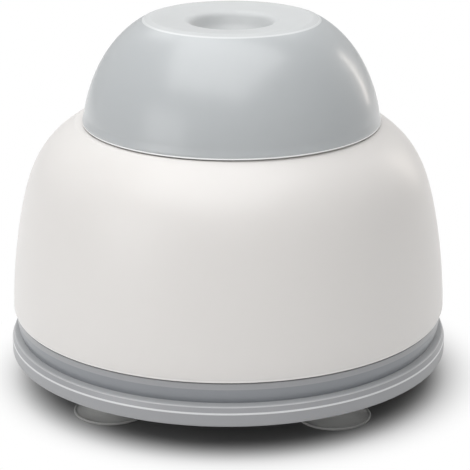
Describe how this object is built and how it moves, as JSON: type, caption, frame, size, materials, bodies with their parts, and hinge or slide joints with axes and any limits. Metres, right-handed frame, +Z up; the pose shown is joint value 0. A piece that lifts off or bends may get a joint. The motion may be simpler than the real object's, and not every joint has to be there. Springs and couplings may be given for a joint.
{
  "type": "bottle shaker",
  "caption": "Small touch-to-run shaker: a domed head with a dish orbits on top of a round housing when a bottle is pressed into it.",
  "frame": {"origin": "centre of the base on the surface it stands on", "axes": "+Z up along the motor's axis, front faces -Y, power inlet on the +Y side"},
  "size_m": [0.1, 0.1, 0.0846],
  "materials": {
    "grey_base_plastic": "semi-gloss moulded grey plastic",
    "white_housing_plastic": "satin off-white moulded plastic",
    "grey_head_elastomer": "smooth, slightly translucent grey moulding",
    "clear_foot_vinyl": "clear soft vinyl",
    "black_plastic": "moulded black plastic",
    "natural_plastic": "natural nylon",
    "black_rubber": "soft black rubber",
    "zinc_steel": "zinc-plated steel",
    "bearing_steel": "ground bearing steel",
    "spring_steel": "oiled spring steel",
    "brass": "machined brass",
    "bronze": "sintered bronze",
    "aluminium": "machined aluminium",
    "copper": "enamelled copper wire",
    "magnet_ferrite": "sintered ferrite",
    "board_green": "solder-masked circuit board",
    "capacitor_sleeve": "shrunk plastic sleeve",
    "lead_red": "wire insulation"
  },
  "bodies": {
    "base": {"base_plate": "grey_base_plastic", "housing": "white_housing_plastic", "housing_screws": "zinc_steel", "suction_foot_rear_right": "clear_foot_vinyl", "suction_foot_rear_left": "clear_foot_vinyl", "suction_foot_front_left": "clear_foot_vinyl", "suction_foot_front_right": "clear_foot_vinyl", "ballast_plate": "zinc_steel", "ballast_screws": "zinc_steel", "control_board": "board_green", "board_screws": "zinc_steel", "board_capacitor": "capacitor_sleeve", "board_transistor": "black_plastic", "board_terminals": "natural_plastic", "touch_switch_body": "black_plastic", "guide_posts": "zinc_steel", "stop_screws": "zinc_steel", "dc_inlet_body": "black_plastic", "dc_inlet_pin": "bearing_steel", "dc_inlet_nut": "zinc_steel", "inlet_leads": "lead_red", "head_boot": "black_rubber", "boot_clamp": "spring_steel"},
    "switch_plunger": {"touch_switch_plunger": "natural_plastic"},
    "motor_carriage": {"motor_cradle": "black_plastic", "guide_bushings": "natural_plastic", "press_springs": "spring_steel", "tail_cup": "black_plastic", "motor_can": "zinc_steel", "motor_endcap": "natural_plastic", "motor_bushings": "bronze", "motor_magnets": "magnet_ferrite", "motor_brushes": "copper", "motor_terminals": "copper", "motor_screws": "zinc_steel", "motor_leads": "lead_red"},
    "rotor": {"motor_shaft": "bearing_steel", "armature_core": "zinc_steel", "armature_windings": "copper", "commutator": "copper", "eccentric_hub": "aluminium", "counterweight": "brass", "hub_set_screw": "spring_steel", "bearing_inner_ring": "bearing_steel"},
    "head": {"bearing_outer_ring": "bearing_steel", "bearing_balls": "bearing_steel", "bearing_circlip": "spring_steel", "head_hub": "aluminium", "head_shell": "grey_head_elastomer"}
  },
  "joints": [
    {"name": "press", "type": "slide", "parent": "base", "child": "motor_carriage", "axis": [0, 0, -1], "range_m": [0, 0.00025], "stiffness_N_per_m": 2500, "springref_m": -0.004, "deforming": ["press_springs"]},
    {"name": "switch_travel", "type": "slide", "parent": "base", "child": "switch_plunger", "axis": [0, 0, -1], "range_m": [0, 0.00025], "stiffness_N_per_m": 4, "springref_m": -0.001},
    {"name": "motor_spin", "type": "hinge", "parent": "motor_carriage", "child": "rotor", "pos_m": [0, 0, 0.055], "axis": [0, 0, 1], "continuous": true},
    {"name": "head_orbit", "type": "hinge", "parent": "rotor", "child": "head", "pos_m": [0.0008, -0.00127, 0.069], "axis": [0, 0, 1], "continuous": true, "deforming": ["head_boot"]}
  ],
  "couplings": [
    {"joint": "switch_travel", "follows": "press", "ratio": 1},
    {"joint": "head_orbit", "follows": "motor_spin", "ratio": -1}
  ]
}
